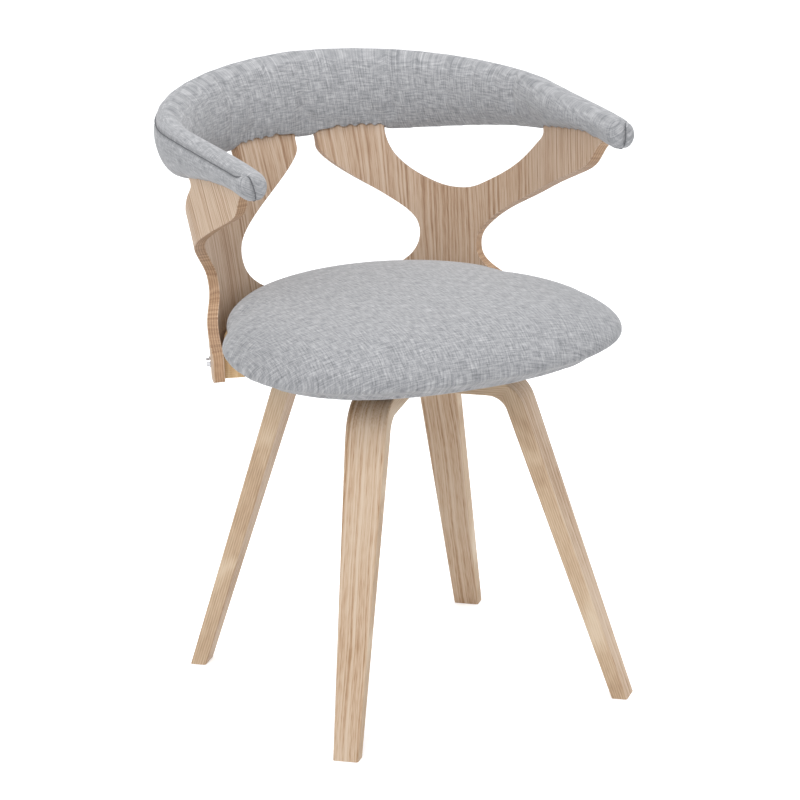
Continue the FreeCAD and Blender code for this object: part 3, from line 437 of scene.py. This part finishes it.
def stuff(piece, pressure, most, hold=None):
    """Blows the cover up against its own cloth, and caps how far a point goes."""
    start = np.array([v.co[:] for v in piece.data.vertices])
    cloth = piece.modifiers.new("stuffing", "CLOTH")
    cloth.settings.quality = 5
    cloth.settings.mass = 0.3
    cloth.settings.tension_stiffness = 15
    cloth.settings.compression_stiffness = 15
    cloth.settings.bending_stiffness = 0.6
    cloth.settings.use_pressure = True
    cloth.settings.uniform_pressure_force = pressure
    cloth.settings.effector_weights.gravity = 0
    cloth.collision_settings.use_collision = False
    if hold is not None:
        group = piece.vertex_groups.new(name="held")
        group.add([i for i, spot in enumerate(start) if hold(spot)], 1.0, "REPLACE")
        cloth.settings.vertex_group_mass = "held"
    for step in range(1, 21):
        bpy.context.scene.frame_set(step)
    bpy.context.view_layer.update()
    bpy.context.view_layer.objects.active = piece
    bpy.ops.object.modifier_apply(modifier=cloth.name)
    bpy.context.scene.frame_set(1)
    done = np.array([v.co[:] for v in piece.data.vertices])
    move = done - start
    length = np.linalg.norm(move, axis=1, keepdims=True)
    move *= np.minimum(1.0, most / np.maximum(length, 1e-9))
    piece.data.vertices.foreach_set("co", (start + move).ravel())


def finish_cloth(piece):
    """One subdivision and smooth faces."""
    bpy.ops.object.select_all(action="DESELECT")
    bpy.context.view_layer.objects.active = piece
    piece.select_set(True)
    finer = piece.modifiers.new("finer", "SUBSURF")
    finer.levels = 1
    finer.render_levels = 1
    bpy.ops.object.modifier_apply(modifier=finer.name)
    piece.data.polygons.foreach_set("use_smooth", [True] * len(piece.data.polygons))


def seat_ring(share, height, tilt_share):
    """One ring of the cushion: squared round in front, the wall's arc behind."""
    centre_y, half_width, front, back = -0.087, 0.254, 0.181, 0.264
    power = 2 / 2.3
    wall_middle, wall_reach, rim_end = 0.0443, 0.2107, math.radians(80.5)
    join_y = wall_middle + wall_reach * math.cos(rim_end)
    join = math.asin(((join_y - centre_y) / back) ** (1 / power))
    ring = []
    for step in range(72):
        turn = -math.pi - join + (math.pi + 2 * join) * step / 71
        reach = front if math.sin(turn) < 0 else back
        x = half_width * math.copysign(abs(math.cos(turn)) ** power, math.cos(turn))
        y = reach * math.copysign(abs(math.sin(turn)) ** power, math.sin(turn))
        ring.append((x * share, centre_y + y * share))
    for step in range(1, 40):
        turn = rim_end - 2 * rim_end * step / 40
        x = wall_reach * math.sin(turn)
        y = wall_middle + wall_reach * math.cos(turn) - centre_y
        ring.append((x * share, centre_y + y * share))
    lowest = 0.4455
    return [(x, y, max(lowest, 0.433 + height - tilt_share * 0.045 * (y - centre_y)))
            for x, y in ring]


widest, crown, fullness = 0.038, 0.092, 3.36
# share of the plan, height over the board's underside, share of the tilt: a
# nearly flat underside that rises from the board to the widest line
under = [(0.02, 0.0125, 0.0), (0.3, 0.0125, 0.0), (0.46, 0.0135, 0.1), (0.62, 0.018, 0.3),
         (0.78, 0.0235, 0.6), (0.90, 0.0280, 0.85), (0.965, 0.0310, 1.0), (0.99, 0.0340, 1.0)]
over = [(reach, widest + (crown - widest) * math.sqrt(1 - reach ** fullness), 1.0)
        for reach in (1.0, 0.995, 0.985, 0.96, 0.92, 0.86, 0.78, 0.68, 0.56, 0.42, 0.26, 0.1)]
rings = [seat_ring(*level) for level in under + over]
around = len(rings[0])
ring_spots = [spot for ring in rings for spot in ring]
ring_faces = [(r * around + i, r * around + (i + 1) % around,
               (r + 1) * around + (i + 1) % around, (r + 1) * around + i)
              for r in range(len(rings) - 1) for i in range(around)]
ring_faces.append(tuple(reversed(range(around))))
ring_faces.append(tuple(range((len(rings) - 1) * around, len(rings) * around)))
cushion_mesh = bpy.data.meshes.new("seat_cushion_cover")
cushion_mesh.from_pydata(ring_spots, [], ring_faces)
seat_cushion = bpy.data.objects.new("seat_cushion_cover", cushion_mesh)
bpy.context.scene.collection.objects.link(seat_cushion)
even_cloth(seat_cushion, 0.005, 0.0016)
stuff(seat_cushion, 4.0, 0.005, hold=lambda spot: spot[2] < 0.449)
finish_cloth(seat_cushion)


def linen(name):
    """Light-grey slub linen: warp and weft 1.7 mm apart, drawn coarser than
    the real 0.6 mm so that the threads show, with pale, uneven slubs."""
    finish, shader, spot = new_finish(name)
    laid = add_node(finish, "ShaderNodeUVMap", uv_map="thread_run")
    parts = add_node(finish, "ShaderNodeSeparateXYZ", [("Vector", laid.outputs[0])])
    thread = 0.0017
    lines = []
    slub_length = 1 / 55.0
    for axis, other in ((0, 1), (1, 0)):
        place = add_node(finish, "ShaderNodeCombineXYZ", [
            (0, sums(finish, "MULTIPLY", parts.outputs[axis], 0.85 / thread)),
            (1, sums(finish, "MULTIPLY", parts.outputs[other], 1 / slub_length)),
            (2, float(axis) * 40.0)])
        slub = add_node(finish, "ShaderNodeTexNoise", [
            ("Vector", place.outputs[0]), ("Scale", 1.0), ("Detail", 1.5)])
        wave = sums(finish, "SINE", sums(finish, "MULTIPLY", parts.outputs[axis],
                                         2 * math.pi / thread))
        lines.append(sums(finish, "MULTIPLY_ADD", wave, 0.05, slub.outputs[0]))
    woven = sums(finish, "ADD", lines[0], lines[1])
    fleck = add_node(finish, "ShaderNodeTexNoise", [
        ("Vector", spot), ("Scale", 900.0), ("Detail", 1.0)])
    woven = sums(finish, "MULTIPLY_ADD", fleck.outputs[0], 0.5, woven)
    level = sums(finish, "MULTIPLY", woven, 0.4)
    colour = ramp(finish, level, ((0.34, "#77787B"), (0.46, "#919294"),
                                  (0.54, "#A1A1A3"), (0.66, "#BBBBBC")))
    bump = add_node(finish, "ShaderNodeBump", [
        ("Height", level), ("Strength", 0.35), ("Distance", 0.0008)])
    links = finish.node_tree.links
    links.new(colour, shader.inputs["Base Color"])
    links.new(bump.outputs[0], shader.inputs["Normal"])
    shader.inputs["Roughness"].default_value = 0.92
    shader.inputs["Specular IOR Level"].default_value = 0.15
    shader.inputs["Sheen Weight"].default_value = 0.25
    shader.inputs["Sheen Roughness"].default_value = 0.5
    return finish


def lay_threads(piece, run):
    """Writes where each corner lies along and across the cloth, in metres."""
    spots = np.array([v.co[:] for v in piece.data.vertices])
    laid = run(spots)
    corner = np.empty(len(piece.data.loops), np.int64)
    piece.data.loops.foreach_get("vertex_index", corner)
    layer = piece.data.uv_layers.new(name="thread_run")
    layer.data.foreach_set("uv", laid[corner].astype(np.float32).ravel())


def seat_threads(spots):
    """Across the seat, and from the back over the crown and down the front."""
    drop = np.maximum(0.515 - spots[:, 2], 0)
    forward = np.where(spots[:, 1] < -0.087, -1.0, 0.4)
    return np.stack([spots[:, 0], spots[:, 1] + forward * drop * 0.75], 1)


seat_linen = linen("slub_linen_seat_cover")
lay_threads(seat_cushion, seat_threads)
seat_cushion.data.materials.clear()
seat_cushion.data.materials.append(seat_linen)
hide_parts("seat_cushion")
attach(seat_cushion, "seat")


# Back band: foam round the shell's upper lobes in the same linen, pulled from
# the inner face over the top to a seam along the outer edge, round both tips.

def wall_at(angle, height, outward):
    """A point on the moulded wall, at a height over the board's underside."""
    over = height - 0.067
    radius = 0.214 + 0.06 * over + 0.26 * over ** 2
    centre = 0.051 + 0.14 * over + 0.60 * over ** 2
    turn = math.radians(min(abs(angle), 90))
    run = math.radians(max(abs(angle) - 90, 0)) * radius
    toe = math.radians(1.4)
    x = (radius + outward) * math.sin(turn) - run * math.sin(toe)
    y = centre + (radius + outward) * math.cos(turn) - run * math.cos(toe)
    return Vector((math.copysign(x, angle) if angle else 0.0, y, 0.433 + height))


band = merged_copy(["back_band", "arm_end_caps"], "back_band_cover")
even_cloth(band, 0.004, 0.0010)
stuff(band, 3.0, 0.004)
finish_cloth(band)


def band_threads(spots):
    """Along the band, and up its faces and over its top."""
    over = spots[:, 2] - 0.433 - 0.067
    radius = 0.214 + 0.06 * over + 0.26 * over ** 2
    centre = 0.051 + 0.14 * over + 0.60 * over ** 2
    back = np.maximum(spots[:, 1] - centre, 0)
    ahead_run = np.maximum(centre - spots[:, 1], 0)
    angle = np.arctan2(spots[:, 0], np.maximum(back, 1e-6))
    along = angle * 0.27 + np.sign(spots[:, 0]) * ahead_run
    outward = np.hypot(spots[:, 0], back) - radius - 0.007
    return np.stack([along, spots[:, 2] - 0.55 * outward], 1)


def seam_guide():
    """Where the seam runs: the top's outer edge, then down round both tips."""
    marks, tops, bottoms = ((0, 35, 70, 100, 135, 155), (310, 306, 303, 308, 314, 315),
                            (203, 208, 226, 246, 271, 276))
    line = []
    for angle in range(-148, 149, 4):
        high = wall_at(angle, np.interp(abs(angle), marks, tops) / 1000, 0.007)
        low = wall_at(angle, np.interp(abs(angle), marks, bottoms) / 1000, 0.007)
        middle, half = (high + low) / 2, (high - low).length / 2
        upward_here = (high - low).normalized()
        ahead = wall_at(angle + 0.5, 0.28, 0) - wall_at(angle - 0.5, 0.28, 0)
        outward_here = ahead.cross(upward_here).normalized()
        if outward_here.dot(middle - Vector((0, 0.05, middle.z))) < 0:
            outward_here = -outward_here
        line.append(middle + upward_here * half * 0.80 + outward_here * 0.020)
        if abs(angle) == 148:
            forward = ahead.normalized() * (1 if angle > 0 else -1)
            tip = [middle + forward * reach + upward_here * half * rise_share
                   + outward_here * 0.004
                   for reach, rise_share in ((0.014, 0.7), (0.020, 0.3), (0.022, -0.1),
                                             (0.020, -0.5), (0.012, -0.95), (0.002, -1.1))]
            line = list(reversed(tip)) + line if angle < 0 else line + tip
    return line


seam_line = [band.closest_point_on_mesh(spot)[1] for spot in seam_guide()]
# a thin tube along the seam, coloured dark grey as painted shade for the seam's groove
seam_curve = bpy.data.curves.new("band_seam_shade_line", "CURVE")
seam_curve.dimensions = "3D"
seam_curve.bevel_depth = 0.0007
seam_curve.bevel_resolution = 2
seam_curve.use_fill_caps = True
seam_spline = seam_curve.splines.new("NURBS")
seam_spline.points.add(len(seam_line) - 1)
for point, spot in zip(seam_spline.points, seam_line):
    point.co = (*spot, 1.0)
seam_spline.order_u = 3
seam_spline.use_endpoint_u = True
seam_spline.resolution_u = 6
band_seam_shade_line = bpy.data.objects.new("band_seam_shade_line", seam_curve)
bpy.context.scene.collection.objects.link(band_seam_shade_line)
bpy.ops.object.select_all(action="DESELECT")
bpy.context.view_layer.objects.active = band_seam_shade_line
band_seam_shade_line.select_set(True)
bpy.ops.object.convert(target="MESH")
band_seam_shade_line = bpy.context.active_object

# the cloth is pulled in along the seam
crease_depth, crease_width = 0.0016, 0.0032
fine_line = np.array([v.co[:] for v in band_seam_shade_line.data.vertices])
band_spots = np.empty(len(band.data.vertices) * 3)
band_normals = np.empty(len(band.data.vertices) * 3)
band.data.vertices.foreach_get("co", band_spots)
band.data.vertices.foreach_get("normal", band_normals)
band_spots, band_normals = band_spots.reshape(-1, 3), band_normals.reshape(-1, 3)
nearest = np.full(len(band_spots), 1.0)
for spot in fine_line[::4]:
    nearest = np.minimum(nearest, np.linalg.norm(band_spots - spot, axis=1))
pull = crease_depth * np.exp(-(nearest / crease_width) ** 2)
band.data.vertices.foreach_set("co", (band_spots - band_normals * pull[:, None]).ravel())
band.data.update()

# the tube is a mottled dark grey, darker than the linen: painted shade for the shaded groove
# along the seam
seam_shade_paint, seam_shader, seam_spot = new_finish("seam_line_painted_shade")
seam_shade_mottle = add_node(seam_shade_paint, "ShaderNodeTexNoise", [
    ("Vector", seam_spot), ("Scale", 1200.0), ("Detail", 1.0)])
seam_shade_paint.node_tree.links.new(
    ramp(seam_shade_paint, seam_shade_mottle.outputs[0], ((0.3, "#4A4B4E"), (0.7, "#6E6F72"))),
    seam_shader.inputs["Base Color"])
seam_shader.inputs["Roughness"].default_value = 0.9
band_seam_shade_line.data.materials.clear()
band_seam_shade_line.data.materials.append(seam_shade_paint)
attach(band_seam_shade_line, "seat")
lay_threads(band, band_threads)
band_linen = linen("slub_linen_band_cover")
band.data.materials.clear()
band.data.materials.append(band_linen)
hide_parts("back_band", "arm_end_caps")
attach(band, "seat")


# Seat board as it shows: cut in under the front and sides of the cushion, out
# of sight, and full width only behind, where the rail and the shell hold it.

def draw_in(piece):
    """Draws a board's front and sides in round the swivel, not its back."""
    middle = np.array([0.0, -0.02])
    kept_radius, squeeze = 0.105, 0.1
    spots = np.array([v.co[:] for v in piece.data.vertices])
    offset = spots[:, :2] - middle
    radius = np.linalg.norm(offset, axis=1)
    bearing = np.degrees(np.arctan2(np.abs(offset[:, 0]), offset[:, 1]))
    fade = np.clip((bearing - 66) / 34, 0, 1)
    share = 1 - (1 - squeeze) * fade * fade * (3 - 2 * fade)
    drawn = np.where(radius > kept_radius,
                     kept_radius + (radius - kept_radius) * share, radius)
    spots[:, :2] = middle + offset * (drawn / np.maximum(radius, 1e-9))[:, None]
    piece.data.vertices.foreach_set("co", spots.ravel())
    piece.data.update()


cut_board = merged_copy(["seat_board"], "cut_seat_board")
draw_in(cut_board)
cut_board.data.materials.clear()
cut_board.data.materials.append(birch)
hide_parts("seat_board")
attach(cut_board, "seat")


# Dust cover: black non-woven cloth, 0.8 mm, stretched under the board inside
# the rail and cut out round the swivel plate.

dust_cover = merged_copy(["dust_cover"], "stapled_dust_cover")
draw_in(dust_cover)
dust_faces = bmesh.new()
dust_faces.from_mesh(dust_cover.data)
dust_area = sum(f.calc_area() for f in dust_faces.faces if f.normal.z < -0.9)
dust_faces.free()
dust_cloth, dust_shader, dust_spot = new_finish("black_non_woven_cloth")
dust_fibres = add_node(dust_cloth, "ShaderNodeTexNoise", [
    ("Vector", dust_spot), ("Scale", 700.0), ("Detail", 3.0)])
dust_cloth.node_tree.links.new(
    ramp(dust_cloth, dust_fibres.outputs[0], ((0.35, "#1B1B1D"), (0.65, "#333336"))),
    dust_shader.inputs["Base Color"])
dust_shader.inputs["Roughness"].default_value = 0.95
dust_cover.data.materials.clear()
dust_cover.data.materials.append(dust_cloth)
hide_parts("dust_cover")
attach(dust_cover, "seat")
